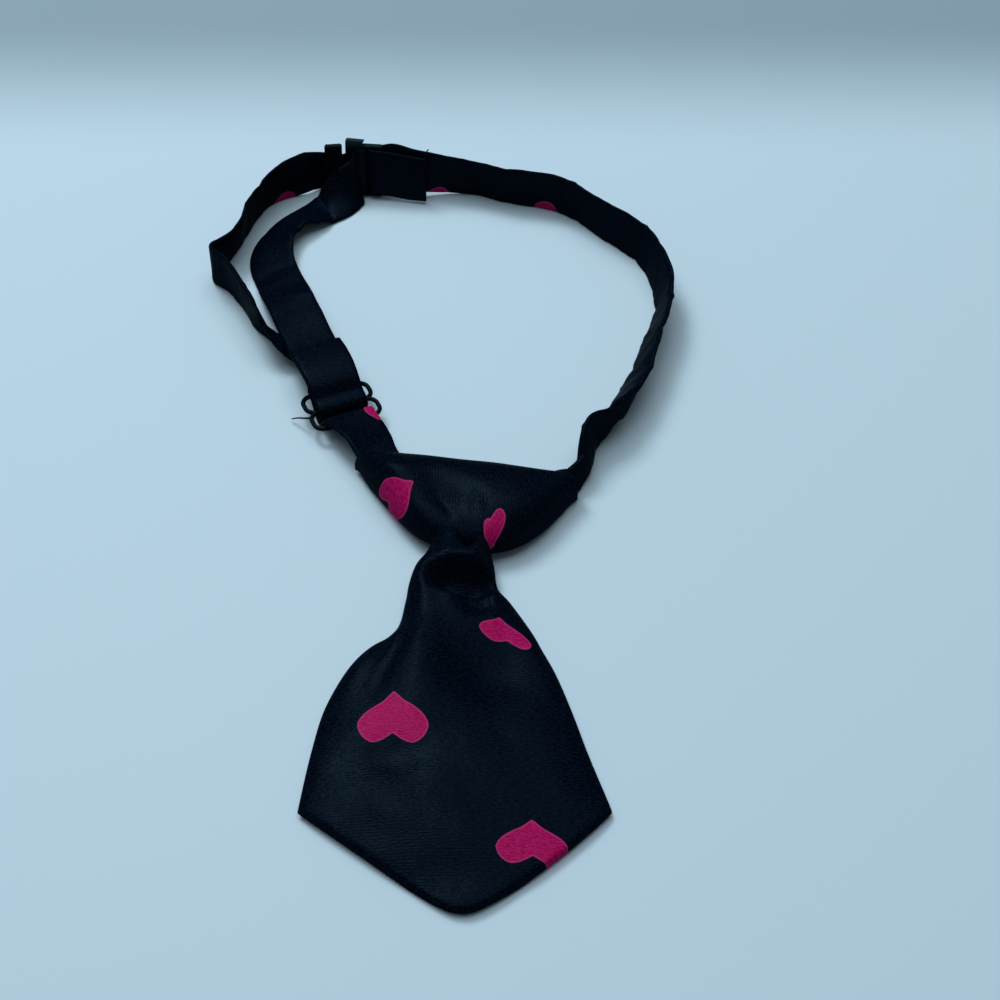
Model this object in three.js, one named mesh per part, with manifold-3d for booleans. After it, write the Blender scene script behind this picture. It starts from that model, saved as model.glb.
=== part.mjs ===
// A dog's satin necktie, lying on a table: millimetres, +Z up, the band's loop behind (+Y) and the
// blade in front (-Y). The blade, the knot and the two halves of the band are cloth walls, and the
// slider and the clasp are hard pieces that the band is threaded through.
import * as THREE from 'three';
import { mergeVertices } from 'three/addons/utils/BufferGeometryUtils.js';
import Module from 'manifold-3d';

// Driving sizes
const BAND_WIDTH = 12;
const BAND_THICK = 1.2;
const SEWN_END_WIDTH = 13.8;
const BLADE_WALL = 2.6;
const KNOT_WALL = 1.8;
const WIRE = 1.1;
const SLIDER_LENGTH = 17;
const SLOT_PITCH = 6;
const CLASP_THICK = 2;
const RAIL = 0.8;
const GAP = 0.3;
const WIRE_GAP = 0.4;
const BAR_GAP = 0.5;

// Sizes that follow from the driving ones
const HALF_BAND = BAND_WIDTH / 2;
const HALF_THICK = BAND_THICK / 2;
const HALF_WIRE = WIRE / 2;

// Where the hard pieces lie
const SLIDER = { x: -20.4, y: 17.2, turn: 24 };
const CLASP = { x: -23.4, y: 108.2, turn: -6, lean: 12 };

// The clasp's bars, along it from its middle: a hook tip, the left band's bar and the right band's bar
const TIP_BAR = { from: -7.8, to: -3.2 };
const LEFT_BAR = { from: -2.1, to: 2.2, crown: 0.8 };
const RIGHT_BAR = { from: 5.7, to: 7.8 };
const CLASP_HEIGHT = BAND_WIDTH + 2 * (RAIL + GAP);

// The band's route. lean tips the upper edge to the left of the way along (0 stands on edge, 90 lies
// flat), rake tips it forward along the way, and lift raises the lower edge off the table.
const RIGHT_LOOP = [
  { x: 3, y: 108, lean: -6, lift: 0.5 },
  { x: 11, y: 106.4, lean: -10, lift: 0 },
  { x: 17, y: 103.8, lean: -10, lift: 0 },
  { x: 23, y: 102.2, lean: -6, lift: 0 },
  { x: 29, y: 100.6, lean: -4, lift: 0 },
  { x: 34.5, y: 97.4, lean: -4, lift: 0 },
  { x: 41, y: 90, lean: -3, lift: 0 },
  { x: 47.5, y: 83.3, lean: 0, lift: 0 },
  { x: 52.6, y: 77, lean: 5, lift: 0 },
  { x: 56, y: 68, lean: 11, lift: 0 },
  { x: 57, y: 58, lean: 18, lift: 0 },
  { x: 55.4, y: 48, lean: 24, lift: 0 },
  { x: 52.2, y: 38, lean: 27, lift: 0 },
  { x: 48.9, y: 27, lean: 32, lift: 0 },
  { x: 45.9, y: 20, lean: 36, lift: 0 },
  { x: 43.7, y: 14.8, lean: 24, rake: 4, lift: 0 },
  { x: 40.8, y: 9.8, lean: 8, rake: 6, lift: 0 },
  { x: 37.9, y: 5, lean: 3, rake: 8, lift: 0 },
  { x: 36.2, y: 0.4, lean: 2, rake: 20, lift: 0 },
  { x: 34.4, y: -3.8, lean: 16, rake: 28, lift: 0.2 },
  { x: 31.8, y: -7.4, lean: 50, rake: 14, lift: 0.6 },
  { x: 28.6, y: -10, lean: 74, lift: 1.4 },
  { x: 24, y: -11.4, lean: 88, lift: 2.4 },
  { x: 18, y: -11.5, lean: 90, lift: 2.8 },
  { x: 9.2, y: -11, lean: 90, lift: 2.8 },
];
const KNOT_TO_SLIDER = [
  { x: 8.6, y: -11, lean: 90, lift: 2.8 },
  { x: 1, y: -10.5, lean: 90, lift: 2.8 },
  { x: -5.6, y: -7, lean: 90, lift: 3.4 },
  { x: -11.4, y: -1.2, lean: 80, lift: 4 },
  { x: -14.2, y: 5, lean: 68, lift: 3.2 },
];
const OUTER_STRAND = [
  { x: -26.4, y: 27.8, lean: 86, lift: 2.2 },
  { x: -32, y: 33.6, lean: 72, lift: 0 },
  { x: -37.6, y: 39.8, lean: 46, lift: 0 },
  { x: -41.4, y: 45.2, lean: 16, lift: 0 },
  { x: -44.8, y: 50.6, lean: 4, lift: 0 },
  { x: -48, y: 57.2, lean: 4, lift: 0 },
  { x: -52.2, y: 64, lean: 4, rake: -4, lift: 0 },
  { x: -55.8, y: 68, lean: 0, rake: -12, lift: 0 },
  { x: -56.5, y: 71, lean: -5, rake: -15, lift: 0 },
  { x: -54.6, y: 74.2, lean: -12, rake: -18, lift: 0 },
  { x: -52.2, y: 78.4, lean: -16, rake: -18, lift: 0 },
  { x: -50, y: 87.2, lean: -12, rake: -12, lift: 0 },
  { x: -48, y: 95.6, lean: -12, rake: -4, lift: 0 },
  { x: -45.2, y: 102, lean: -10, lift: 0 },
  { x: -40.8, y: 106.4, lean: -4, lift: 0 },
  { x: -36, y: 109, lean: 4, lift: 0.4 },
];
const INNER_STRAND = [
  { x: -22.6, y: 105.6, lean: -24, lift: 0 },
  { x: -26.4, y: 102.2, lean: -55, rake: 8, lift: 0 },
  { x: -29.8, y: 100, lean: -83, rake: -5, lift: 0.2 },
  { x: -33.4, y: 96.8, lean: -102, rake: -14, lift: 0 },
  { x: -37.1, y: 93, lean: -110, rake: -18, lift: 0 },
  { x: -40.2, y: 88.6, lean: -112, rake: -20, lift: 0 },
  { x: -42.2, y: 83.4, lean: -110, rake: -18, lift: 0 },
  { x: -42.6, y: 76.4, lean: -106, rake: -8, lift: 0 },
  { x: -39.4, y: 65, lean: -102, lift: 1 },
  { x: -34.8, y: 52, lean: -98, lift: 4.6 },
];

// The blade, from the end tucked into the knot to the pointed end. left, mid and right are places
// across it, drop is how far the middle hangs below the sides, top and rim are the heights of the
// middle and the sides, and plies is its thickness in walls.
const BLADE = [
  { y: -17.5, left: 4, mid: 8.2, right: 12.4, drop: 0, top: 6.4, rim: 5, plies: 1 },
  { y: -22, left: 3.2, mid: 8.2, right: 13.2, drop: 0.8, top: 6.8, rim: 5, plies: 1.15 },
  { y: -26.5, left: 2, mid: 8, right: 13.8, drop: 2.4, top: 7.8, rim: 5.4, plies: 1.25 },
  { y: -31, left: 0.4, mid: 7.8, right: 14.6, drop: 2.6, top: 8.9, rim: 5.4, plies: 1.3 },
  { y: -35.2, left: -1.9, mid: 7.4, right: 15.4, drop: 2, top: 6.4, rim: 4.8, plies: 1.15 },
  { y: -38.2, left: -2.6, mid: 7.5, right: 15.9, drop: 1.6, top: 6, rim: 3.9, plies: 1.1 },
  { y: -42, left: -3.2, mid: 7.6, right: 18.8, drop: 1.2, top: 6, rim: 3.3, plies: 1 },
  { y: -49, left: -4.8, mid: 7.9, right: 22.8, drop: 1, top: 5.9, rim: 2.8, plies: 1 },
  { y: -53.6, left: -10.2, mid: 8, right: 24.8, drop: 1, top: 5.7, rim: 2.6, plies: 1 },
  { y: -60, left: -14.4, mid: 8.1, right: 27.4, drop: 1.4, top: 5.6, rim: 2.5, plies: 1 },
  { y: -69, left: -17.9, mid: 8.3, right: 30.2, drop: 3.4, top: 5.2, rim: 2.4, plies: 1 },
  { y: -80, left: -19.7, mid: 8.6, right: 33.2, drop: 9.6, top: 4.6, rim: 2.3, plies: 1 },
  { y: -91, left: -20.8, mid: 9, right: 36.6, drop: 20, top: 2.8, rim: 2.2, plies: 0.95 },
  { y: -92.2, left: -21, mid: 9.2, right: 36.9, drop: 21.8, top: 2.2, rim: 1.9, plies: 0.6 },
];
const TIP_ROUND = 0.13;
const HEM_BOW = 0.3;

// The blade's side flaps go under its middle panel: where the folds run, and how far under the flaps lie
const FLAPS = [
  { y: -33, left: -1, under_l: 0, right: 15, under_r: 0 },
  { y: -38.2, left: -2.6, under_l: 0, right: 15.6, under_r: 1.6 },
  { y: -42, left: -3.2, under_l: 0.6, right: 15.6, under_r: 1.6 },
  { y: -49, left: -4.6, under_l: 2, right: 15.6, under_r: 0.8 },
  { y: -53.6, left: -5.2, under_l: 2.2, right: 16, under_r: 0.3 },
  { y: -60, left: -6.6, under_l: 1.5, right: 17, under_r: 0 },
  { y: -69, left: -9.4, under_l: 0.6, right: 18, under_r: 0 },
  { y: -80, left: -12, under_l: 0, right: 19, under_r: 0 },
];
const FOLD_BLUR = 1.6;

// The blade's crown and edge are rounded by powers of the place across it
const CROWN_POWER = 2.2;
const EDGE_POWER = 8;
const EDGE_WALL = 0.45;
const EDGE_CROWDING = 1.25;

// Dents, as hollows of a given depth and reach: a gap between the pleats and one under the roll
const BLADE_DENTS = [
  { x: 9.6, y: -26.4, depth: 1.8, wide: 1.7, long: 3.4 },
  { x: 6.6, y: -38.6, depth: 1, wide: 6, long: 3.2 },
];

// The knot, from its left end to its right: back and front edges and the height of its crown
const KNOT = [
  { x: -16, back: -1, front: -3.4, height: 6.2 },
  { x: -13.4, back: -0.4, front: -7.8, height: 7.8 },
  { x: -9.4, back: -0.7, front: -13.6, height: 9 },
  { x: -5, back: -1.2, front: -19.8, height: 10 },
  { x: 0, back: -1.8, front: -25.2, height: 10.6 },
  { x: 7.5, back: -2.9, front: -28.2, height: 10.6 },
  { x: 15, back: -4, front: -28.8, height: 10.6 },
  { x: 20.6, back: -5.1, front: -26.6, height: 10.2 },
  { x: 25.4, back: -6, front: -22.2, height: 9.4 },
  { x: 29.2, back: -6.6, front: -16.8, height: 8.4 },
  { x: 32.4, back: -7.6, front: -11, height: 7.2 },
];

// The knot's edge lies at a part of its height. Its upper and lower skins are rounded by powers of the
// place across it, its underside is pressed flat, and its edge keeps a small thickness.
const KNOT_EDGE = 0.42;
const OVER_POWER = 2.4;
const OVER_ROUND = 0.6;
const UNDER_POWER = 4;
const UNDER_ROUND = 0.5;
const FLATTEN = 1.12;
const SELVEDGE = 0.15;
const KNOT_DENTS = [{ x: 5.6, y: -19, depth: 2.2, wide: 3.2, long: 6 }];

const CLOTH = { color: 0x16171c, roughness: 0.5, metalness: 0 };
const LACQUER = { color: 0x101114, roughness: 0.35, metalness: 0 };
const PLASTIC = { color: 0x3a3d42, roughness: 0.45, metalness: 0 };

const wasm = await Module();
wasm.setup();

const { degToRad, clamp, lerp, smoothstep } = THREE.MathUtils;
const UP = new THREE.Vector3(0, 0, 1);

function cubic(t, before, from, to, after) {
  const leave = (to - before) / 2;
  const arrive = (after - from) / 2;
  const bend = 2 * (from - to) + leave + arrive;
  return from + t * (leave + t * (to - from - leave - bend + t * bend));
}

// A table's rows with `parts` steps from each row to the next, every column eased
function resample(rows, parts) {
  const row = (i) => rows[clamp(i, 0, rows.length - 1)];
  return Array.from({ length: (rows.length - 1) * parts + 1 }, (_, n) => {
    const i = Math.min(Math.floor(n / parts), rows.length - 2);
    const near = [row(i - 1), row(i), row(i + 1), row(i + 2)];
    const ease = (key) => cubic(n / parts - i, ...near.map((r) => r[key]));
    return Object.fromEntries(Object.keys(rows[0]).map((key) => [key, ease(key)]));
  });
}

function geometry(points, triangles) {
  const made = new THREE.BufferGeometry();
  made.setAttribute('position', new THREE.Float32BufferAttribute(points.flatMap((p) => p.toArray()), 3));
  made.setIndex(triangles);
  return made;
}

function volume(points, triangles) {
  let sum = 0;
  for (let i = 0; i < triangles.length; i += 3) {
    const [a, b, c] = [0, 1, 2].map((k) => points[triangles[i + k]]);
    sum += a.dot(new THREE.Vector3().crossVectors(b, c));
  }
  return sum / 6;
}

// A closed skin over rings of equal length. Point k of a ring lies over point (length - 1 - k), so
// the end caps are zipped across.
function loft(rings, closed = false) {
  const size = rings[0].length;
  const points = rings.flat();
  const triangles = [];
  const spans = closed ? rings.length : rings.length - 1;
  for (let r = 0; r < spans; r += 1) {
    const next = ((r + 1) % rings.length) * size;
    for (let k = 0; k < size; k += 1) {
      const side = (k + 1) % size;
      triangles.push(r * size + k, r * size + side, next + side);
      triangles.push(r * size + k, next + side, next + k);
    }
  }
  if (!closed) {
    const end = (rings.length - 1) * size;
    for (let k = 0; k < size / 2 - 1; k += 1) {
      const far = size - 1 - k;
      triangles.push(k, far, far - 1, k, far - 1, k + 1);
      triangles.push(end + k, end + far - 1, end + far, end + k, end + k + 1, end + far - 1);
    }
  }
  if (volume(points, triangles) < 0) {
    triangles.reverse();
  }
  return geometry(points, triangles);
}

function solid(source) {
  const bare = mergeVertices(source.toNonIndexed().deleteAttribute('normal').deleteAttribute('uv'), 1e-4);
  const vertProperties = new Float32Array(bare.attributes.position.array);
  const triVerts = new Uint32Array(bare.index.array);
  return new wasm.Manifold(new wasm.Mesh({ numProp: 3, vertProperties, triVerts }));
}

function fromSolid(body) {
  const mesh = body.getMesh();
  const made = new THREE.BufferGeometry();
  made.setAttribute('position', new THREE.BufferAttribute(new Float32Array(mesh.vertProperties), 3));
  made.setIndex([...mesh.triVerts]);
  return made;
}

// Rings from each stop of a band to the next, and the rings that run through the knot
const BAND_PARTS = 2;
const TUNNEL_RINGS = 13;

// A band's route is a list of stops: a place, the direction of its width and half its width
function stop(place, across, half = HALF_BAND) {
  return { place, across, half };
}

function stopsOf(rows) {
  const at = (i) => rows[clamp(i, 0, rows.length - 1)];
  return rows.map((row, i) => {
    const way = new THREE.Vector3(at(i + 1).x - at(i - 1).x, at(i + 1).y - at(i - 1).y, 0).normalize();
    const left = new THREE.Vector3().crossVectors(UP, way);
    const lean = degToRad(row.lean);
    const rake = degToRad(row.rake ?? 0);
    const across = UP.clone().multiplyScalar(Math.cos(lean) * Math.cos(rake))
      .addScaledVector(left, Math.sin(lean) * Math.cos(rake))
      .addScaledVector(way, Math.sin(rake));
    const height = HALF_BAND * Math.abs(across.z) + HALF_THICK * Math.hypot(across.x, across.y);
    return stop(new THREE.Vector3(row.x, row.y, height + row.lift), across);
  });
}

// The band's section, as parts of half its width and half its thickness
const BAND_SECTION = [
  [-1, 0.4], [-0.93, 1], [0.93, 1], [1, 0.4],
  [1, -0.4], [0.93, -1], [-0.93, -1], [-1, -0.4],
];

function bandRings(stops, parts, swell = 0) {
  const way = new THREE.CatmullRomCurve3(stops.map((s) => s.place));
  const widths = new THREE.CatmullRomCurve3(stops.map((s) => s.across));
  const halves = new THREE.CatmullRomCurve3(stops.map((s) => new THREE.Vector3(s.half, 0, 0)));
  const count = (stops.length - 1) * parts;
  return Array.from({ length: count + 1 }, (_, n) => {
    const t = n / count;
    const along = way.getTangent(t);
    const across = widths.getPoint(t).normalize();
    const face = new THREE.Vector3().crossVectors(along, across).normalize();
    const half = halves.getPoint(t).x + swell;
    const middle = way.getPoint(t);
    return BAND_SECTION.map(([a, b]) => middle.clone()
      .addScaledVector(across, a * half)
      .addScaledVector(face, b * (HALF_THICK + swell)));
  });
}

// The slider lies level. Beside it, `along` runs back from the knot and `over` is the height above
// its middle bar.
const SLIDER_WAY = new THREE.Vector3(0, 1, 0).applyAxisAngle(UP, degToRad(SLIDER.turn));
const SLIDER_ACROSS = new THREE.Vector3(1, 0, 0).applyAxisAngle(UP, degToRad(SLIDER.turn));
const WRAP = HALF_WIRE + WIRE_GAP + HALF_THICK;
const LAYER = BAND_THICK + GAP;
const UNDER = WRAP + LAYER;
const SLIDER_PLACE = new THREE.Vector3(SLIDER.x, SLIDER.y, UNDER + HALF_THICK);

function sliderStop(along, over, across, half) {
  const place = SLIDER_PLACE.clone().addScaledVector(SLIDER_WAY, along).addScaledVector(UP, over);
  return stop(place, across, half);
}

// Over the front bar, under the middle bar and the sewn loop, and over the back bar
function throughSlider() {
  const across = SLIDER_ACROSS.clone().negate();
  const middle = (WRAP - UNDER) / 2;
  const swing = (WRAP + UNDER) / 2;
  const steps = 8;
  return Array.from({ length: steps + 1 }, (_, n) => {
    const along = lerp(-SLOT_PITCH, SLOT_PITCH, n / steps);
    return sliderStop(along, middle - swing * Math.cos((along / SLOT_PITCH) * Math.PI), across);
  });
}

// The sewn loop: down behind the back bar, round the front of the middle bar, and back on top to
// its widened sewn end
const LOOP_FLOOR = WRAP + LAYER + 0.25;
const LOOP_DOWN = [
  { along: 17, over: LOOP_FLOOR - 0.3 },
  { along: 11, over: LOOP_FLOOR + 0.4 },
  { along: 6, over: LOOP_FLOOR + 0.1 },
  { along: 3.6, over: LOOP_FLOOR - 1.3 },
  { along: 1.7, over: -0.35 },
];
const LOOP_ROUND = [255, 210, 165, 120];
const LOOP_BACK = [
  { along: 1.5, over: WRAP + 0.5 },
  { along: 4, over: LOOP_FLOOR + 0.93 },
  { along: 8, over: LOOP_FLOOR + LAYER + 0.55, width: BAND_WIDTH + 0.6 },
  { along: 13, over: LOOP_FLOOR + LAYER + 0.5, width: SEWN_END_WIDTH },
  { along: 18, over: LOOP_FLOOR + LAYER - 0.1, width: SEWN_END_WIDTH },
];

function sewnLoop() {
  const round = LOOP_ROUND.map((angle) => ({
    along: WRAP * Math.cos(degToRad(angle)),
    over: WRAP * Math.sin(degToRad(angle)),
  }));
  const across = SLIDER_ACROSS.clone().negate();
  return [...LOOP_DOWN, ...round, ...LOOP_BACK].map(({ along, over, width = BAND_WIDTH }) => (
    sliderStop(along, over, across, width / 2)
  ));
}

// The clasp leans back. Beside it, `along` runs to the right and `out` away from the loop's inside.
const CLASP_WAY = new THREE.Vector3(1, 0, 0).applyAxisAngle(UP, degToRad(CLASP.turn));
const CLASP_UP = UP.clone().applyAxisAngle(CLASP_WAY, -degToRad(CLASP.lean));
const CLASP_OUT = new THREE.Vector3().crossVectors(CLASP_UP, CLASP_WAY);
const CLASP_FOOT = CLASP_THICK / 2 * Math.sin(degToRad(CLASP.lean));
const BEND = CLASP_THICK / 2 + BAR_GAP + HALF_THICK;

function claspStop(along, out, half) {
  const place = new THREE.Vector3(CLASP.x, CLASP.y, CLASP_FOOT)
    .addScaledVector(CLASP_UP, CLASP_HEIGHT / 2)
    .addScaledVector(CLASP_WAY, along)
    .addScaledVector(CLASP_OUT, out);
  return stop(place, CLASP_UP, half);
}

// Half a turn about one of the clasp's bars, on the side that `side` points to
function roundBar(middle, side, from, to) {
  return [from, from / 2, 0, to / 2, to].map((angle) => claspStop(
    middle + side * BEND * Math.cos(degToRad(angle)),
    BEND * Math.sin(degToRad(angle)),
  ));
}

// The right band's places beside the clasp: its sewn end in front of the bar and its way out behind
const RIGHT_END = [
  { along: 20, out: -1.2, width: SEWN_END_WIDTH },
  { along: 15, out: -1.2, width: SEWN_END_WIDTH },
  { along: 10.5, out: -1.6, width: BAND_WIDTH + 0.6 },
];
const RIGHT_WAY_OUT = [
  { along: 10.5, out: 1.4, width: BAND_WIDTH },
  { along: 16, out: 0.5, width: BAND_WIDTH },
];

function bandRightStops() {
  const bend = RIGHT_BAR.from - BAR_GAP - HALF_THICK + BEND;
  const beside = (row) => claspStop(row.along, row.out, row.width / 2);
  return [
    ...RIGHT_END.map(beside),
    ...roundBar(bend, -1, -90, 90),
    ...RIGHT_WAY_OUT.map(beside),
    ...stopsOf(RIGHT_LOOP),
  ];
}

function bandLeftStops() {
  const bend = LEFT_BAR.to + BAR_GAP + HALF_THICK - BEND;
  return [
    ...stopsOf(KNOT_TO_SLIDER),
    ...throughSlider(),
    ...stopsOf(OUTER_STRAND),
    claspStop(TIP_BAR.from, BEND + GAP),
    claspStop(TIP_BAR.to, BEND),
    ...roundBar(bend, 1, 90, -90),
    ...stopsOf(INNER_STRAND),
    ...sewnLoop(),
  ];
}

function dentAt(dents, x, y) {
  return dents.reduce((sum, dent) => {
    const off = Math.hypot((x - dent.x) / dent.wide, (y - dent.y) / dent.long);
    return sum + dent.depth * Math.exp(-off * off);
  }, 0);
}

function flapAt(y) {
  const past = FLAPS.findIndex((row) => row.y < y);
  const next = past < 0 ? FLAPS.length - 1 : Math.max(past, 1);
  const [from, to] = [FLAPS[next - 1], FLAPS[next]];
  const part = clamp((y - from.y) / (to.y - from.y), 0, 1);
  return Object.fromEntries(Object.keys(from).map((key) => [key, lerp(from[key], to[key], part)]));
}

// The blade's skin at a place across it, from -1 at its left side to 1 at its right
function bladePoint(row, u, side) {
  const x = u < 0 ? lerp(row.mid, row.left, -u) : lerp(row.mid, row.right, u);
  const peak = Math.hypot(1, TIP_ROUND);
  const bow = HEM_BOW * Math.max(u, 0) * (1 - Math.max(u, 0));
  const y = row.y - row.drop * ((peak - Math.hypot(u, TIP_ROUND)) / (peak - TIP_ROUND) + bow);
  const flap = flapAt(row.y);
  const crown = row.rim + (row.top - row.rim) * (1 - Math.abs(u) ** CROWN_POWER);
  const left = flap.under_l * (1 - smoothstep(x, flap.left - FOLD_BLUR, flap.left + FOLD_BLUR / 2));
  const right = flap.under_r * smoothstep(x, flap.right - FOLD_BLUR / 2, flap.right + FOLD_BLUR);
  const full = BLADE_WALL * row.plies;
  const wall = full * lerp(EDGE_WALL, 1, Math.sqrt(1 - u ** EDGE_POWER));
  const top = Math.max(crown - left - right - dentAt(BLADE_DENTS, x, y), full);
  return new THREE.Vector3(x, y, top - full / 2 + side * wall / 2);
}

function bladeRings(rows, cells) {
  const us = Array.from({ length: cells + 1 }, (_, k) => {
    const u = 2 * k / cells - 1;
    return Math.sign(u) * (1 - (1 - Math.abs(u)) ** EDGE_CROWDING);
  });
  return rows.map((row) => [
    ...us.map((u) => bladePoint(row, u, 1)),
    ...us.toReversed().map((u) => bladePoint(row, u, -1)),
  ]);
}

// The knot's skin at a place from -1 at its front edge to 1 at its back edge, `inset` inside it
function knotPoint(row, s, side, inset) {
  const y = lerp(row.front + inset, row.back - inset, (s + 1) / 2);
  const edge = KNOT_EDGE * row.height;
  const dent = dentAt(KNOT_DENTS, row.x, y) * (1 - s * s);
  const over = (row.height - inset - edge) * (1 - Math.abs(s) ** OVER_POWER) ** OVER_ROUND - dent;
  const under = (FLATTEN * edge - inset) * (1 - s ** UNDER_POWER) ** UNDER_ROUND;
  const z = side > 0 ? edge + over + SELVEDGE : Math.max(edge - under - SELVEDGE, inset);
  return new THREE.Vector3(row.x, y, z);
}

function knotRings(rows, cells, inset) {
  const ss = Array.from({ length: cells + 1 }, (_, k) => Math.sin((k / cells - 0.5) * Math.PI));
  return rows.map((row) => [
    ...ss.map((s) => knotPoint(row, s, 1, inset)),
    ...ss.toReversed().map((s) => knotPoint(row, s, -1, inset)),
  ]);
}

// The blade's tucked end with room round it, which opens the knot's mouth
function mouthRings() {
  const rows = resample(BLADE.slice(0, 5), 2).map((row) => ({
    ...row,
    left: row.left - GAP,
    right: row.right + GAP,
    rim: row.rim + GAP,
    top: row.top + GAP,
    plies: row.plies + 2 * GAP / BLADE_WALL,
  }));
  rows[0].y += GAP;
  return bladeRings(rows, 12);
}

function knotGeometry() {
  const rows = resample(KNOT, 3);
  const hollow = rows.slice(4, -4);
  const cuts = [
    knotRings(hollow, 8, KNOT_WALL),
    mouthRings(),
    bandRings(bandLeftStops(), BAND_PARTS, GAP).slice(0, TUNNEL_RINGS),
    bandRings(bandRightStops(), BAND_PARTS, GAP).slice(-TUNNEL_RINGS),
  ];
  const whole = solid(loft(knotRings(rows, 12, 0)));
  return fromSolid(cuts.reduce((body, rings) => body.subtract(solid(loft(rings))), whole));
}

// A round wire bent into a slot with rounded ends, its middle bar on the X axis
function slotWire(side) {
  const corner = 2.4;
  const half = (SLIDER_LENGTH - WIRE) / 2;
  const middle = side * SLOT_PITCH / 2;
  const arcs = [
    { x: half - corner, y: middle + SLOT_PITCH / 2 - corner, from: 0 },
    { x: corner - half, y: middle + SLOT_PITCH / 2 - corner, from: 90 },
    { x: corner - half, y: middle - SLOT_PITCH / 2 + corner, from: 180 },
    { x: half - corner, y: middle - SLOT_PITCH / 2 + corner, from: 270 },
  ];
  const sides = 6;
  const rings = arcs.flatMap((arc) => [0, 30, 60, 90].map((step) => {
    const angle = degToRad(arc.from + step);
    const out = new THREE.Vector3(Math.cos(angle), Math.sin(angle), 0);
    const centre = new THREE.Vector3(arc.x, arc.y, 0).addScaledVector(out, corner);
    return Array.from({ length: sides }, (_, k) => {
      const turn = (k + 0.5) * 2 * Math.PI / sides;
      return centre.clone()
        .addScaledVector(out, HALF_WIRE * Math.cos(turn))
        .addScaledVector(UP, HALF_WIRE * Math.sin(turn));
    });
  }));
  return loft(rings, true);
}

function sliderGeometry() {
  return fromSolid(solid(slotWire(1)).add(solid(slotWire(-1))));
}

function claspGeometry() {
  const bevel = 0.25;
  const high = CLASP_HEIGHT;
  const crown = high + LEFT_BAR.crown;
  const outline = [
    [TIP_BAR.from, 0], [RIGHT_BAR.to, 0], [RIGHT_BAR.to, high], [LEFT_BAR.to, high],
    [LEFT_BAR.to, crown], [LEFT_BAR.from, crown], [LEFT_BAR.from, RAIL], [TIP_BAR.to, RAIL],
    [TIP_BAR.to, high], [TIP_BAR.from, high],
  ].map(([x, y]) => new THREE.Vector2(x, y));
  const slot = [
    [LEFT_BAR.to, RAIL], [LEFT_BAR.to, high - RAIL], [RIGHT_BAR.from, high - RAIL], [RIGHT_BAR.from, RAIL],
  ].map(([x, y]) => new THREE.Vector2(x, y));
  const shape = new THREE.Shape(outline);
  shape.holes.push(new THREE.Path(slot));
  const plate = new THREE.ExtrudeGeometry(shape, {
    depth: CLASP_THICK - 2 * bevel,
    bevelSize: bevel,
    bevelOffset: -bevel,
    bevelThickness: bevel,
    bevelSegments: 2,
  });
  return plate.translate(0, 0, bevel - CLASP_THICK / 2);
}

const tie = new THREE.Group();

function add(name, shape, finish) {
  const mesh = new THREE.Mesh(shape, new THREE.MeshStandardMaterial(finish));
  mesh.name = name;
  tie.add(mesh);
  return mesh;
}

add('tie_blade', loft(bladeRings(resample(BLADE, 2), 18)), CLOTH);
add('tie_knot', knotGeometry(), CLOTH);
add('band_right', loft(bandRings(bandRightStops(), BAND_PARTS)), CLOTH);
add('band_left', loft(bandRings(bandLeftStops(), BAND_PARTS)), CLOTH);

const slider = add('slider', sliderGeometry(), LACQUER);
slider.position.copy(SLIDER_PLACE);
slider.rotation.z = degToRad(SLIDER.turn);

const clasp = add('clasp', claspGeometry(), PLASTIC);
clasp.position.set(CLASP.x, CLASP.y, CLASP_FOOT);
clasp.quaternion.setFromRotationMatrix(
  new THREE.Matrix4().makeBasis(CLASP_WAY, CLASP_UP, CLASP_OUT.clone().negate()),
);

// The origin is under the middle of the whole tie
const reach = new THREE.Box3().setFromObject(tie);
const middle = reach.getCenter(new THREE.Vector3());
tie.position.set(-middle.x, -middle.y, -reach.min.z);

export default tie;
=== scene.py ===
"""The looks of a dog's satin necktie that lies on a table.

Sizes and tables are in millimetres in the table's own frame. Meshes are made in metres in the row
frame, which lies a fraction of a millimetre away from it.
"""
import math
from collections import namedtuple

import bmesh
import bpy
import numpy as np
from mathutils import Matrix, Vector


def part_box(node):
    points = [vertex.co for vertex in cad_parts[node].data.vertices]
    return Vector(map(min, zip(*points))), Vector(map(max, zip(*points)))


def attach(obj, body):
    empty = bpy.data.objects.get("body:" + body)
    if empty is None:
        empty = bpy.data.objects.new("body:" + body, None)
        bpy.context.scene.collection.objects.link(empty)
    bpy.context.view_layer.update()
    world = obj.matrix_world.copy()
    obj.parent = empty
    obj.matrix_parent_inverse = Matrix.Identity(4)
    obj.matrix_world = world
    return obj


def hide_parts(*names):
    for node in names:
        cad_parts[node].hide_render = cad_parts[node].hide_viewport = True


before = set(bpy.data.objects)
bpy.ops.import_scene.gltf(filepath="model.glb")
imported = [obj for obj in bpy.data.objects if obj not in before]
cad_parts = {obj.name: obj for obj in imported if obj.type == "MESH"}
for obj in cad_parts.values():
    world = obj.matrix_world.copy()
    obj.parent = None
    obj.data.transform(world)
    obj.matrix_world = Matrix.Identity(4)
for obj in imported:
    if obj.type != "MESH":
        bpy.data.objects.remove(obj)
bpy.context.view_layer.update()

MM = 0.001

# Sizes of the pieces
BAND_WIDTH = 12
BAND_THICK = 1.2
SEWN_END_WIDTH = 13
BLADE_WALL = 2.6
WIRE = 1.1
SLIDER_LENGTH = 17
SLOT_PITCH = 6
SLOT_CORNER = 2.4
CLASP_THICK = 2
RAIL = 0.8
GAP = 0.3
WIRE_GAP = 0.4
BAR_GAP = 0.5
HALF_BAND = BAND_WIDTH / 2
HALF_THICK = BAND_THICK / 2
HALF_WIRE = WIRE / 2

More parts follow.
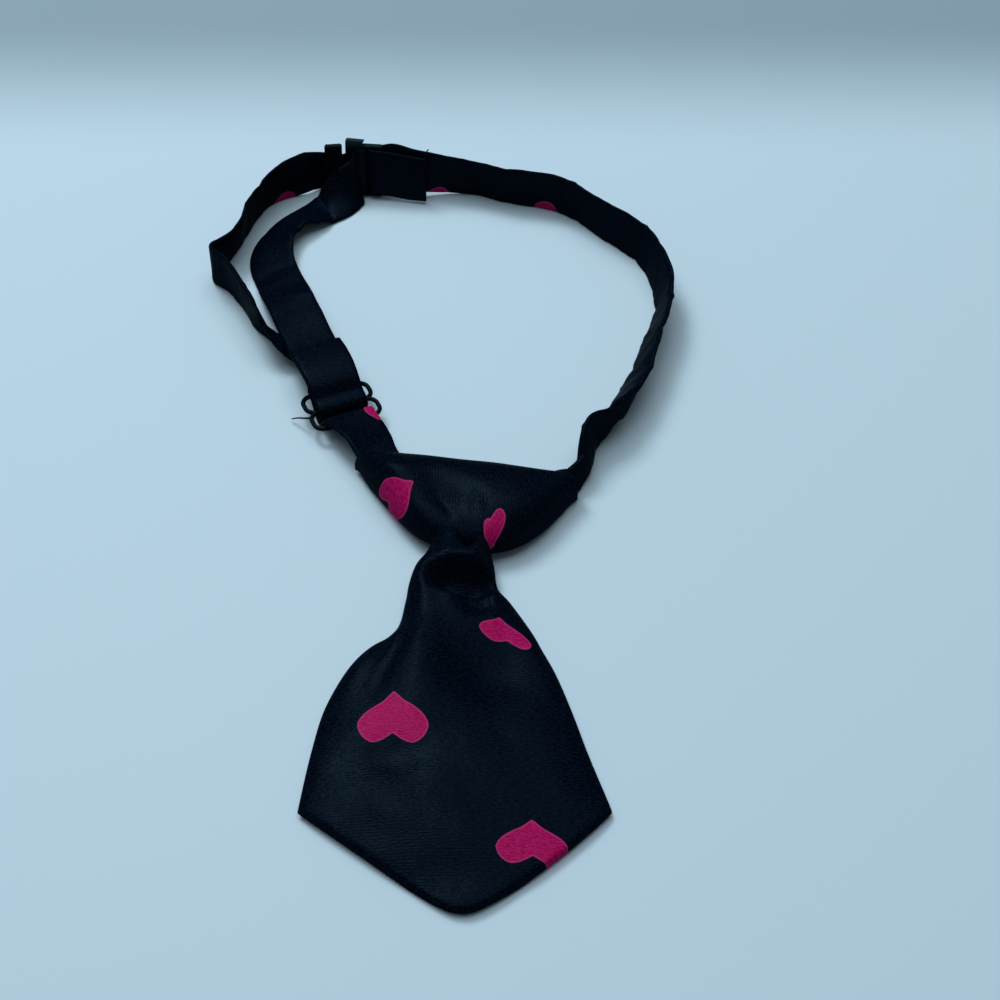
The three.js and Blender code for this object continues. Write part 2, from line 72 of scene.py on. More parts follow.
# How the band's layers lie on the slider's wire and round the clasp's bars, and where these two stand
WRAP = HALF_WIRE + WIRE_GAP + HALF_THICK
LAYER = BAND_THICK + GAP
UNDER = WRAP + LAYER
SLIDER_X, SLIDER_Y, SLIDER_TURN = -20.4, 17.2, 24
SLIDER_PLACE = np.array([SLIDER_X, SLIDER_Y, UNDER + HALF_THICK])
CLASP_X, CLASP_Y, CLASP_TURN, CLASP_LEAN = -23.4, 108.2, -6, 12
BEND = CLASP_THICK / 2 + BAR_GAP + HALF_THICK
SQUARE = 0.6
SLOT_FIT = BAND_WIDTH + 0.5
SLOT_PRESS = 0.12
TUCKED_WIDTH = 10
TUCKED_RISE = -1.8
UP = np.array([0.0, 0.0, 1.0])

# The clasp's bars, along it from its middle
TIP_BAR = (-7.8, -3.2)
LEFT_BAR = (-2.1, 2.2)
RIGHT_BAR = (5.7, 7.8)
CROWN = 1.5
CLASP_TOPS = {(0, 3): (0.6, -0.9), (1, 3): (-0.5, -0.4), (2, 4): (0.1, -0.2), (3, 4): (0.9, -0.4)}
CLASP_HEIGHT = BAND_WIDTH + 2 * (RAIL + GAP)

# The band's route. lean tips the upper edge to the left of the way along, rake tips it forward
# along the way, lift raises the lower edge off the table, and plies thickens a bunched band's middle.
Route = namedtuple("Route", "x y lean lift rake width plies", defaults=(0, 0, BAND_WIDTH, 1))
RIGHT_LOOP = [Route(*row) for row in (
    (3, 108, -6, 0.5),
    (11, 106.4, -10),
    (17, 103.8, -10),
    (23, 102.2, -6),
    (29, 100.6, -4),
    (34.5, 97.4, -4),
    (41, 90, -3),
    (47.5, 83.3, 0),
    (52.6, 77, 5),
    (56, 68, 11),
    (57, 58, 18),
    (55.4, 48, 24),
    (52.2, 38, 27, 0, 0, 12, 1.2),
    (48.9, 27, 32, 0, 0, 12, 1.6),
    (45.9, 20, 36, 0, 0, 12, 2),
    (43.7, 14.8, 24, 0, 4, 11.5, 3.2),
    (40.8, 9.8, 8, 0, 6, 12, 2.2),
    (36.8, 5, -2, 0, 4, 12, 2.2),
    (35.6, 0.6, -8, 0, 4, 10.8, 2.6),
    (35, -3.2, -4, 0, 6, 7.6, 2.8),
    (32.4, -6.8, -20, 0, 6, 6.6, 2),
    (29.2, -9.6, -60, 1, 0, 6.4, 1.4),
    (25, -11.2, -85, 2.2, 0, 7),
    (18, -11.5, -90, 2.8, 0, 8),
    (9.2, -11, -90, 2.8, 0, 8),
)]
KNOT_TO_SLIDER = [Route(*row) for row in (
    (8.6, -11, 90, 2.8, 0, 8),
    (1, -10.5, 90, 2.8, 0, 8),
    (-5.2, -7, 92, 3.2, 0, 8.4),
    (-10.6, -1.2, 88, 3.6, 0, 9.6),
    (-13.6, 5, 74, 3.2, 0, 11.4),
)]
OUTER_STRAND = [Route(*row) for row in (
    (-25, 28.2, 88, 2.2, 0, 9.6),
    (-29, 36.6, 80, 0.4, 0, 9.8),
    (-37, 40.6, 47),
    (-41.4, 45.4, 16),
    (-44.8, 50.6, 4),
    (-48, 57.2, 4),
    (-52.2, 64, 4, 0, -4),
    (-55.8, 68, 0, 0, -12),
    (-56.5, 71, -5, 0, -15),
    (-54.6, 74.2, -12, 0, -18),
    (-52.2, 78.4, -16, 0, -18),
    (-50, 87.2, -12, 0, -12),
    (-48, 95.6, -12, 0, -4),
    (-45.2, 102, -10),
    (-40.8, 106.4, -4),
    (-36, 109, 4, 0.4),
)]
INNER_STRAND = [Route(*row) for row in (
    (-22.6, 105.6, -24),
    (-26.4, 102.2, -55, 0, 8),
    (-29.8, 100, -83, 0.2, -5),
    (-33.4, 96.8, -102, 0, -14),
    (-37.1, 93, -110, 0, -18),
    (-40.2, 88.6, -112, 0, -20),
    (-42.2, 83.4, -110, 0, -18),
    (-42.6, 76.4, -106, 0, -8),
    (-39.4, 65, -102, 1),
    (-34.8, 52, -98, 4.6),
)]

# The sewn loop on the slider's middle bar and the right band's places beside the clasp
Beside = namedtuple("Beside", "along off width slack rise", defaults=(BAND_WIDTH, 0, 0))
LOOP_SLACK = 0.25
LOOP_FLOOR = WRAP + LAYER + LOOP_SLACK
LOOP_DOWN = [Beside(*row) for row in (
    (17, LOOP_FLOOR - 0.3),
    (11, LOOP_FLOOR + 0.4),
    (6, LOOP_FLOOR + 0.1),
    (3.6, LOOP_FLOOR - 1.3),
    (1.7, -0.35),
)]
LOOP_ROUND = (255, 210, 165, 120)
LOOP_BACK = [Beside(*row) for row in (
    (1.5, WRAP + 0.5),
    (4, LOOP_FLOOR + 0.93),
    (8, LOOP_FLOOR + LAYER + 0.55, BAND_WIDTH + 0.6),
    (13, LOOP_FLOOR + LAYER + 0.5, SEWN_END_WIDTH),
    (17.6, LOOP_FLOOR + LAYER - 0.1, SEWN_END_WIDTH),
)]
RIGHT_END = [Beside(*row) for row in (
    (20, -2.8, BAND_WIDTH, 1, -0.9),
    (15, -2.2, BAND_WIDTH + 0.4, 1, -0.8),
    (10.5, -1.9, BAND_WIDTH + 0.4, 0.5, -0.3),
)]
RIGHT_WAY_OUT = [Beside(10.5, 1.4, BAND_WIDTH, 0, 1.2), Beside(16, 0.5, BAND_WIDTH, 0, 0.4)]

# The blade, from the end in the knot to the point: places across it, how far the middle hangs below
# the sides, the heights of the middle and the sides, and its thickness in walls
Blade = namedtuple("Blade", "y left mid right drop top rim plies")
BLADE = [Blade(*row) for row in (
    (-17.5, 4, 8.2, 12.4, 0, 6.4, 5, 1),
    (-22, 3.2, 8.2, 13.2, 0.8, 6.8, 5, 1.15),
    (-26.5, 2, 8, 13.8, 2.4, 7.8, 5.4, 1.25),
    (-31, 0.4, 7.8, 14.6, 2.6, 9.1, 5.4, 1.3),
    (-34.2, -1.4, 7.5, 15.2, 2.2, 8.7, 5, 1.15),
    (-38.2, -2.6, 7.5, 15.9, 1.6, 6.8, 4.2, 1.1),
    (-42, -3.2, 7.6, 18.8, 1.2, 6, 3.3, 1),
    (-49, -4.8, 7.9, 22.8, 1, 5.9, 2.8, 1),
    (-53.6, -10.2, 8, 24.8, 1, 5.7, 2.6, 1),
    (-60, -14.4, 8.1, 27.4, 1.4, 5.5, 2.5, 1),
    (-69, -17.9, 8.3, 30.2, 3.4, 5.4, 2.4, 1),
    (-80, -19.7, 8.6, 33.2, 9.4, 4.9, 2.4, 0.95),
    (-90.8, -20.8, 9, 36.5, 19, 3.2, 2.5, 0.95),
    (-92.6, -21, 9.2, 36.9, 20.7, 2.3, 2.1, 0.8),
)]
TIP_ROUND = 0.1
HEM_BOW = 0.3
CROWN_POWER = 3

# The blade's side flaps under its middle panel: where the folds run and how far under the flaps lie
Flap = namedtuple("Flap", "y left under_l right under_r")
FLAPS = [Flap(*row) for row in (
    (-33, -1, 0, 15, 0),
    (-38.2, -2.6, 0, 15.2, 0.9),
    (-42, -3.2, 0.5, 15.2, 0.9),
    (-49, -4.6, 1.2, 15.6, 0.5),
    (-53.6, -5.4, 1, 16, 0.2),
    (-60, -7.4, 0.5, 17, 0),
    (-69, -10.4, 0.1, 18, 0),
    (-80, -12, 0, 19, 0),
)]
FOLD_BLUR = 2

# Dents and ridges, as hollows (or, with a negative depth, swellings) with a reach along and across
# a line that is turned from the X axis
Dent = namedtuple("Dent", "x y depth wide long turn steep", defaults=(0, 1))
BLADE_DENTS = [Dent(*row) for row in (
    (9.6, -27, 3.4, 1.7, 3.8, 0, 1.5),
    (8.4, -38.6, 4.6, 6.4, 3.2, -6, 2),
    (11.6, -43.6, 1.8, 3.6, 3.4, -30, 1.5),
    (5.4, -27, -0.5, 2, 4),
    (13, -28, -0.4, 1.6, 4),
    (-0.4, -38, -1, 2.4, 8, 8),
    (-11.6, -58.4, -1, 3.2, 7.5, -24),
    (-5.4, -60, 0.5, 1.8, 9, -22),
    (0.4, -61, -1.3, 5, 11),
    (15.4, -61, 3, 8, 11),
    (8, -107.5, 0.8, 12, 4, -5),
    (-4, -82, 1, 8, 4.5, 8),
    (0, -95, -0.8, 14, 4.5, -18),
    (20, -84, 0.4, 8, 7, 20),
)]

# Slight waves of the cloth. Across a band, broad is a share of half its width.
Wave = namedtuple("Wave", "high long broad seed")
BAND_BUCKLE = Wave(0.3, 2.6, 1, 3)
BAND_PUCKER = Wave(0.1, 1.1, 0.5, 6)
BAND_EDGE = Wave(0.3, 5, 0.5, 0)
BAND_PLUMP = Wave(0.1, 2, 0.5, 9)
BLADE_SWELL = Wave(0.24, 4, 4, 2)
BLADE_PUCKER = Wave(0.06, 1.6, 1.6, 7)
KNOT_SWELL = Wave(0.15, 3, 3, 4)

# The knot, from its left end to its right: back and front edges and the height of its crown
Knot = namedtuple("Knot", "x back front height")
KNOT = [Knot(*row) for row in (
    (-16.2, -1.2, -1.5, 2.8),
    (-15.4, -0.8, -2.8, 5.2),
    (-13.4, -0.4, -6.4, 7.8),
    (-9.4, -0.7, -13, 9),
    (-5, -1.2, -19.8, 10),
    (0, -1.8, -25.2, 10.6),
    (7.5, -2.9, -28.2, 10.6),
    (15, -4, -28.8, 10.6),
    (20.6, -5.1, -26.6, 10.2),
    (25.4, -6, -22.2, 9.4),
    (29.2, -6.6, -16.8, 8.4),
    (31.4, -7.1, -13.4, 7.8),
    (33.4, -8.4, -10.8, 6.8),
)]
KNOT_EDGE = 0.42
OVER_POWER = 2.4
OVER_ROUND = 0.6
UNDER_POWER = 4
UNDER_ROUND = 0.5
FLATTEN = 1.12
KNOT_POINTS = (0.2, 0.8)
KNOT_TAPER = 4
KNOT_DENTS = [Dent(*row) for row in (
    (-8, -11, -1.6, 6, 7),
    (5, -19, 2.4, 8, 5.4, -58),
    (5, -20.6, 0.5, 5, 1, -60),
    (7.6, -17.6, -0.4, 5, 2, -62),
    (11.4, -22.5, 0.8, 1.8, 5),
    (6, -27, 1.6, 4, 3),
    (20, -21, -0.4, 3, 4),
)]

# Half of a heart's outline, from its tip to the notch: out from the middle line and up from the lobes
HEART = (
    (0, 1),
    (0.14, 0.9),
    (0.3, 0.8),
    (0.52, 0.71),
    (0.77, 0.59),
    (0.93, 0.46),
    (1, 0.33),
    (0.93, 0.18),
    (0.8, 0.07),
    (0.6, 0),
    (0.4, 0.02),
    (0.21, 0.08),
    (0, 0.17),
)

# Printed hearts: the place between the lobes' ends, half the way across and the way to the tip.
# On the knot the second place is taken up a plane that leans back by 45 degrees, and on the bands it is
# the way along the cloth. other is the second lobe's share of the first one's width.
Heart = namedtuple("Heart", "x y wide_x wide_y tall_x tall_y other", defaults=(1,))
BLADE_HEARTS = [Heart(*row) for row in (
    (-4, -79, 6.85, -0.4, -0.2, 11.5),
    (22.2, -104.4, 6.7, 0, -0.1, 8.7),
    (17.9, -54.2, 5.2, -1.4, -1.7, 6.5),
)]
KNOT_HEARTS = [Heart(*row) for row in (
    (-8.9, -8.5, 2.1, -4.1, 6.8, 5.7, 0.95),
    (13.9, -10.2, 3.4, 2.3, 0.6, -7.9, 0.36),
)]
BAND_RIGHT_HEARTS = [Heart(*row) for row in (
    (-4, 34.2, 0, 6.85, -11.3, 0),
    (-6, 72.6, 4.4, -5.3, -8.7, -7.3),
)]
BAND_LEFT_HEARTS = [Heart(*row) for row in (
    (-6.5, 41.7, 4.4, -5.3, -8.7, -7.3),
    (-6.5, 158.3, 4.6, -5.6, -8.7, -7.3),
)]
HEART_STEPS = 49
NO_HEART = 50.0


def columns(rows):
    return {key: np.array([getattr(row, key) for row in rows], float) for key in rows[0]._fields}


def resample(rows, parts):
    """A table's columns with `parts` steps from each row to the next, each column eased."""
    table = columns(rows)
    place = np.linspace(0, len(rows) - 1, (len(rows) - 1) * parts + 1)
    i = np.minimum(place.astype(int), len(rows) - 2)
    t = place - i
    out = {}
    for key, value in table.items():
        padded = np.concatenate([value[:1], value, value[-1:]])
        before, start, end, after = (padded[i + k] for k in range(4))
        leave, arrive = (end - before) / 2, (after - start) / 2
        bend = 2 * (start - end) + leave + arrive
        out[key] = start + t * (leave + t * (end - start - leave - bend + t * bend))
    return out


def spline(points, t):
    """Points on a centripetal curve through `points`, at the parts t of the way along it."""
    tiny = 1e-4
    points = np.asarray(points, float)
    place = t * (len(points) - 1)
    i = np.minimum(place.astype(int), len(points) - 2)
    w = (place - i)[:, None]
    padded = np.vstack([2 * points[0] - points[1], points, 2 * points[-1] - points[-2]])
    a, b, c, d = (padded[i + k] for k in range(4))
    gaps = [np.linalg.norm(q - p, axis=1)[:, None] ** 0.5 for p, q in ((a, b), (b, c), (c, d))]
    span = np.where(gaps[1] < tiny, 1, gaps[1])
    first = np.where(gaps[0] < tiny, span, gaps[0])
    last = np.where(gaps[2] < tiny, span, gaps[2])
    leave = span * ((b - a) / first - (c - a) / (first + span) + (c - b) / span)
    arrive = span * ((c - b) / span - (d - b) / (span + last) + (d - c) / last)
    bend = 2 * (b - c) + leave + arrive
    return b + w * (leave + w * (c - b - leave - bend + w * bend))


def unit(v):
    return v / np.linalg.norm(v, axis=-1, keepdims=True)


def turned(v, degrees):
    c, s = math.cos(math.radians(degrees)), math.sin(math.radians(degrees))
    return np.array([c * v[0] - s * v[1], s * v[0] + c * v[1], v[2]])


def smoothstep(x, low, high):
    t = np.clip((x - low) / (high - low), 0, 1)
    return t * t * (3 - 2 * t)


# How each of a ripple's sine waves turns, quickens and shifts from the one before, and what the seed adds
SINES = 5
SINE_TURN, SINE_PACE, SINE_SHIFT = 2.4, 0.37, 1.3
SEED_TURN, SEED_SHIFT = 1.7, 5.1


def ripple(u, v, seed):
    """A smooth, aimless wave from -1 to 1 with a step of about 6 in u and v."""
    total = 0
    for k in range(SINES):
        angle = seed * SEED_TURN + k * SINE_TURN
        pace = 1 + SINE_PACE * k
        shift = seed * SEED_SHIFT + k * SINE_SHIFT
        total = total + np.sin(pace * (u * math.cos(angle) + v * math.sin(angle)) + shift)
    return total / SINES


def waved(wave, u, v, seed=0):
    return wave.high * ripple(u / wave.long, v / wave.broad, seed + wave.seed)


SLIDER_WAY = turned((0, 1, 0), SLIDER_TURN)
SLIDER_ACROSS = turned((1, 0, 0), SLIDER_TURN)
CLASP_WAY = turned((1, 0, 0), CLASP_TURN)
CLASP_BACK = turned((0, 1, 0), CLASP_TURN)
CLASP_TILT = math.radians(CLASP_LEAN)
CLASP_UP = math.cos(CLASP_TILT) * UP + math.sin(CLASP_TILT) * CLASP_BACK
CLASP_OUT = np.cross(CLASP_UP, CLASP_WAY)
CLASP_FOOT = np.array([CLASP_X, CLASP_Y, CLASP_THICK / 2 * math.sin(CLASP_TILT)])

low, high = (np.array(corner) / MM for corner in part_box("slider"))
SHIFT = (low + high) / 2 - SLIDER_PLACE

# A stop on a band's route: its place, the direction and half of its width, how slack the cloth is,
# whether its lower edge lies on the table, and how thick its middle is
Stop = namedtuple("Stop", "place across half slack lies plies", defaults=(0, 1))
BEND_STOPS = 9


def route_stops(rows):
    stops = []
    for i, row in enumerate(rows):
        before, after = rows[max(i - 1, 0)], rows[min(i + 1, len(rows) - 1)]
        way = unit(np.array([after.x - before.x, after.y - before.y, 0]))
        left = np.cross(UP, way)
        lean, rake = math.radians(row.lean), math.radians(row.rake)
        across = math.cos(rake) * (math.cos(lean) * UP + math.sin(lean) * left) + math.sin(rake) * way
        height = HALF_BAND * abs(across[2]) + HALF_THICK * math.hypot(across[0], across[1])
        place = np.array([row.x, row.y, height + row.lift])
        stops.append(Stop(place, across, row.width / 2, 1, not row.lift, row.plies))
    return stops


def slider_stop(along, over, across, width=BAND_WIDTH):
    return Stop(SLIDER_PLACE + along * SLIDER_WAY + over * UP, across, width / 2, 0)


def clasp_stop(along, out, width=BAND_WIDTH, slack=0, rise=0):
    height = CLASP_HEIGHT / 2 + rise
    place = CLASP_FOOT + height * CLASP_UP + along * CLASP_WAY + out * CLASP_OUT
    return Stop(place, CLASP_UP, width / 2, slack)


def round_bar(middle, side, start, end):
    """Half a turn about one of the clasp's bars."""
    angles = np.radians(np.linspace(start, end, BEND_STOPS))
    out, off = (BEND * np.sign(f(angles)) * np.abs(f(angles)) ** SQUARE for f in (np.cos, np.sin))
    return [clasp_stop(middle + side * a, b, SLOT_FIT) for a, b in zip(out, off)]


def through_slider():
    """The band's way up through one slot, over the middle bar and down through the other slot."""
    middle, swing = (WRAP - UNDER) / 2, (WRAP + UNDER) / 2
    places = np.linspace(-SLOT_PITCH, SLOT_PITCH, BEND_STOPS)
    return [
        slider_stop(along, middle - swing * math.cos(along / SLOT_PITCH * math.pi), -SLIDER_ACROSS)
        for along in places
    ]


def sewn_loop():
    turns = [math.radians(angle) for angle in LOOP_ROUND]
    bend = [Beside(WRAP * math.cos(a), WRAP * math.sin(a)) for a in turns]
    rows = LOOP_DOWN + bend + LOOP_BACK
    return [slider_stop(row.along, row.off, -SLIDER_ACROSS, row.width) for row in rows]


def band_right_stops():
    bend = RIGHT_BAR[0] - BAR_GAP - HALF_THICK + BEND - SLOT_PRESS
    return [
        *(clasp_stop(*row) for row in RIGHT_END),
        *round_bar(bend, -1, -90, 90),
        *(clasp_stop(*row) for row in RIGHT_WAY_OUT),
        *route_stops(RIGHT_LOOP),
    ]


def band_left_stops():
    bend = LEFT_BAR[1] + BAR_GAP + HALF_THICK - BEND + SLOT_PRESS
    return [
        *route_stops(KNOT_TO_SLIDER),
        *through_slider(),
        *route_stops(OUTER_STRAND),
        clasp_stop(TIP_BAR[0], BEND + GAP, TUCKED_WIDTH, 0, TUCKED_RISE),
        clasp_stop(TIP_BAR[1], BEND, TUCKED_WIDTH, 0, TUCKED_RISE),
        *round_bar(bend, 1, 90, -90),
        *route_stops(INNER_STRAND),
        *sewn_loop(),
    ]


SMOOTH_BELOW = 60


def show(name, mesh, smooth_below):
    """A piece in the scene, with edges that turn by more than `smooth_below` degrees left sharp."""
    mesh.shade_smooth()
    mesh.set_sharp_from_angle(angle=math.radians(smooth_below))
    piece = bpy.data.objects.new(name, mesh)
    bpy.context.scene.collection.objects.link(piece)
    return piece


def make(name, points, faces):
    mesh = bpy.data.meshes.new(name)
    mesh.from_pydata(((np.asarray(points) + SHIFT) * MM).tolist(), [], faces)
    mesh.update()
    work = bmesh.new()
    work.from_mesh(mesh)
    bmesh.ops.recalc_face_normals(work, faces=work.faces)
    work.to_mesh(mesh)
    work.free()
    return show(name, mesh, SMOOTH_BELOW)


def mark(piece, name, kind, values):
    layer = piece.data.attributes.new(name, kind, "POINT")
    field = "vector" if kind == "FLOAT_VECTOR" else "value"
    layer.data.foreach_set(field, np.asarray(values, np.float32).ravel())


def flat_rings(over, under):
    """Rings round a flat thing from its upper and lower points, which meet at both edges."""
    return np.concatenate([over, under[:, -2:0:-1]], axis=1)


def ring_faces(count, size, last):
    """Quads between rings of a flat thing, and strips across its two ends. `last` is the far edge."""
    faces = []
    for r in range(count - 1):
        a, b = r * size, (r + 1) * size
        faces += [(a + k, a + (k + 1) % size, b + (k + 1) % size, b + k) for k in range(size)]
    for start in (0, (count - 1) * size):
        faces.append((start, start + 1, start + size - 1))
        for k in range(1, last - 1):
            faces.append((start + k, start + k + 1, start + size - k - 1, start + size - k))
        faces.append((start + last - 1, start + last, start + last + 1))
    return faces


def sheet_piece(name, over, under, weave_over):
    """A cloth piece, its rings of points, and each point's place on the cloth."""
    rings = flat_rings(over, under)
    count, size = rings.shape[:2]
    piece = make(name, rings.reshape(-1, 3), ring_faces(count, size, over.shape[1] - 1))
    weave = flat_rings(weave_over, weave_over).reshape(-1, 3)
    mark(piece, "weave", "FLOAT_VECTOR", weave)
    return piece, rings, weave


def heart_line(heart):
    """A heart's whole outline on the cloth."""
    half = spline(HEART, np.linspace(0, 1, HEART_STEPS))
    other = half * (-heart.other, 1)
    whole = np.concatenate([half, other[-2:0:-1]])
    across, tall = np.array([heart.wide_x, heart.wide_y]), np.array([heart.tall_x, heart.tall_y])
    return np.array([heart.x, heart.y]) + whole[:, :1] * across + whole[:, 1:] * tall


def outline_distance(points, line):
    """How far each point lies from a closed outline, negative inside it."""
    start, end = line, np.roll(line, -1, axis=0)
    nearest = np.full(len(points), np.inf)
    inside = np.zeros(len(points), bool)
    for a, b in zip(start, end):
        way = b - a
        part = np.clip((points - a) @ way / (way @ way), 0, 1)
        nearest = np.minimum(nearest, np.linalg.norm(points - a - part[:, None] * way, axis=1))
        crosses = (a[1] > points[:, 1]) != (b[1] > points[:, 1])
        slope = way[0] / way[1] if way[1] else 0
        inside ^= crosses & (points[:, 0] < a[0] + (points[:, 1] - a[1]) * slope)
    return np.where(inside, -nearest, nearest)


def print_hearts(places, hearts):
    distance = np.full(len(places), NO_HEART)
    for heart in hearts:
        distance = np.minimum(distance, outline_distance(places, heart_line(heart)))
    return distance


def dents_at(dents, x, y):
    total = np.zeros_like(x)
    for dent in dents:
        c, s = math.cos(math.radians(dent.turn)), math.sin(math.radians(dent.turn))
        along, across = (x - dent.x) * c + (y - dent.y) * s, (y - dent.y) * c - (x - dent.x) * s
        off = (along / dent.wide) ** 2 + (across / dent.long) ** 2
        total += dent.depth * np.exp(-off ** dent.steep)
    return total


BAND_PARTS = 12
BAND_CELLS = 28
BAND_EDGE_POWER = 14
CREASE_SOFT = 0.9
CREASE_ROUND = 0.25
PINCH_REACH = 2.4

# Creases across a band: the place along it, how deep, how far they slant, and how much they narrow it
Crease = namedtuple("Crease", "run depth slant pinch", defaults=(0, 0))
RIGHT_CREASES = [Crease(*row) for row in (
    (56, 0.3, 10),
    (77, -0.6, -6),
    (90, 0.2, 20),
    (101, -0.7, 8, 0.2),
    (113, 0.3, -30, 0.2),
    (126, -0.6, 30, 0.5),
    (138, 0.3, 30, 0.1),
    (151, -0.6, 30, 0.5),
    (160, 0.4, 40, 0.2),
    (169, -0.7, 36, 0.5),
    (178, 0.6, 30, 0.4),
)]
LEFT_CREASES = [Crease(*row) for row in (
    (22, 0.4, 25, 0.2),
    (26, -0.3, -35),
    (74, 0.4, 30, 0.3),
    (83, -0.4, -25, 0.3),
    (92, 0.3, 20),
    (133, -0.3, 15),
    (143, 0.4, -10),
    (187.5, -0.8, 14),
    (197.5, 0.9, -5, 0.2),
    (205, -0.7, -20, 0.2),
    (213, 0.6, 25, 0.2),
    (232, 0.3, 12),
    (247, -0.5, -22),
)]


def band_grid(stops, creases, seed):
    """Upper and lower points of a band, and places across and along its cloth."""
    t = np.linspace(0, 1, (len(stops) - 1) * BAND_PARTS + 1)
    at_stops = np.linspace(0, 1, len(stops))
    middle = spline([s.place for s in stops], t)
    across = unit(spline([s.across for s in stops], t))
    half, slack, lies, plies = (
        np.interp(t, at_stops, column)[:, None] for column in zip(*[s[2:] for s in stops]))
    face = unit(np.cross(unit(np.gradient(middle, axis=0)), across))
    length = np.concatenate([[0], np.cumsum(np.linalg.norm(np.diff(middle, axis=0), axis=1))])
    part = np.sin(np.linspace(-math.pi / 2, math.pi / 2, BAND_CELLS + 1))
    run, side = np.meshgrid(length, part, indexing="ij")
    buckle = waved(BAND_BUCKLE, run, side, seed) + waved(BAND_PUCKER, run, side, seed)
    pinch = 0
    for crease in creases:
        off = run - crease.run - side * half * math.tan(math.radians(crease.slant))
        buckle = buckle + crease.depth * np.exp(-np.hypot(off, CREASE_ROUND) / CREASE_SOFT)
        pinch = pinch + crease.pinch * np.exp(-(off / PINCH_REACH) ** 2)
    wave = waved(BAND_EDGE, run, np.sign(side), seed) - pinch
    reach = side * (half + slack * wave * np.abs(side))
    thick = HALF_THICK * np.sqrt(1 - side ** BAND_EDGE_POWER) * (1 + waved(BAND_PLUMP, run, side, seed))
    thick = thick * (1 + (plies - 1) * (1 - side * side))
    out = face[:, None]
    base = middle[:, None] + reach[..., None] * across[:, None] + (slack * buckle)[..., None] * out
    over, under = base + thick[..., None] * out, base - thick[..., None] * out
    lowest = np.minimum(over[..., 2], under[..., 2]).min(axis=1, keepdims=True)
    drop = np.where(lowest < 0, 1, lies) * lowest
    over[..., 2] -= drop
    under[..., 2] -= drop
    weave = np.stack([reach, run, np.zeros_like(run)], axis=-1)
    return over, under, weave


def make_band(name, stops, creases, hearts, seed):
    """A band, and its upper points and places on its cloth, which the stitches need."""
    over, under, weave = band_grid(stops, creases, seed)
    piece, _, places = sheet_piece(name, over, under, weave)
    mark(piece, "heart", "FLOAT", print_hearts(places[:, :2], hearts))
    return piece, over, weave


BLADE_PARTS = 14
BLADE_CELLS = 132
THINNEST = 1
RIPPLE_FADE = 6
SIDE_POWER = 10
HEM_REACH = 0.97
OFF_TABLE = 0.05


def blade_grid():
    """Upper and lower points of the blade, and places on its cloth."""
    rows = {key: value[:, None] for key, value in resample(BLADE, BLADE_PARTS).items()}
    u = np.sin(np.linspace(-math.pi / 2, math.pi / 2, BLADE_CELLS + 1))[None, :]
    left, right = rows["mid"] - rows["left"], rows["right"] - rows["mid"]
    x = rows["mid"] + np.where(u < 0, left * u, right * u)
    peak = math.hypot(1, TIP_ROUND)
    bow = HEM_BOW * np.maximum(u, 0) * (1 - np.maximum(u, 0))
    y = rows["y"] - rows["drop"] * ((peak - np.hypot(u, TIP_ROUND)) / (peak - TIP_ROUND) + bow)
    table = columns(FLAPS)
    flap = {key: np.interp(-rows["y"], -table["y"], value) for key, value in table.items()}
    crown = rows["rim"] + (rows["top"] - rows["rim"]) * (1 - np.abs(u) ** CROWN_POWER)
    fold_l = 1 - smoothstep(x, flap["left"] - FOLD_BLUR, flap["left"] + FOLD_BLUR / 2)
    fold_r = smoothstep(x, flap["right"] - FOLD_BLUR / 2, flap["right"] + FOLD_BLUR)
    full = BLADE_WALL * rows["plies"]
    top = crown - flap["under_l"] * fold_l - flap["under_r"] * fold_r - dents_at(BLADE_DENTS, x, y)
    top += (waved(BLADE_SWELL, x, y) + waved(BLADE_PUCKER, x, y)) * (1 - np.abs(u) ** RIPPLE_FADE)
    top = np.maximum(top, THINNEST)
    wall = full * np.sqrt(1 - np.abs(u) ** SIDE_POWER)
    hem = np.linspace(0, HEM_REACH, BLADE_PARTS + 1)[:, None]
    wall[-len(hem):] *= np.sqrt(1 - hem ** 2)
    middle = top - full / 2
    over = np.stack([x, y, middle + wall / 2], axis=-1)
    under = np.stack([x, y, np.maximum(middle - wall / 2, OFF_TABLE)], axis=-1)
    weave = np.stack([x, y, np.zeros_like(x)], axis=-1)
    return over, under, weave


KNOT_PARTS = 10
KNOT_CELLS = 60


def knot_grid():
    """Upper and lower points of the knot, and places on its cloth, whose threads run round it."""
    rows = {key: value[:, None] for key, value in resample(KNOT, KNOT_PARTS).items()}
    s = np.sin(np.linspace(-math.pi / 2, math.pi / 2, KNOT_CELLS + 1))[None, :]
    x = rows["x"] + 0 * s
    y = rows["front"] + (rows["back"] - rows["front"]) * (s + 1) / 2
    edge = KNOT_EDGE * rows["height"]
    over = (rows["height"] - edge) * (1 - np.abs(s) ** OVER_POWER) ** OVER_ROUND
    over -= dents_at(KNOT_DENTS, x, y) * (1 - s * s)
    over += waved(KNOT_SWELL, x, y) * (1 - s * s)
    sole = 1
    for point, off in zip(KNOT_POINTS, (x - KNOT[0].x, KNOT[-1].x - x)):
        sole = sole * (point + (1 - point) * smoothstep(off, 0, KNOT_TAPER))
    under = sole * FLATTEN * edge * (1 - s ** UNDER_POWER) ** UNDER_ROUND
    upper = np.stack([x, y, edge + over], axis=-1)
    lower = np.stack([x, y, np.maximum(edge - under, 0)], axis=-1)
    steps = np.linalg.norm(np.diff(upper, axis=1), axis=2)
    arc = np.concatenate([np.zeros((len(x), 1)), np.cumsum(steps, axis=1)], axis=1)
    arc = arc - arc[:, -1:] + rows["back"]
    return upper, lower, np.stack([arc, x, np.zeros_like(x)], axis=-1)


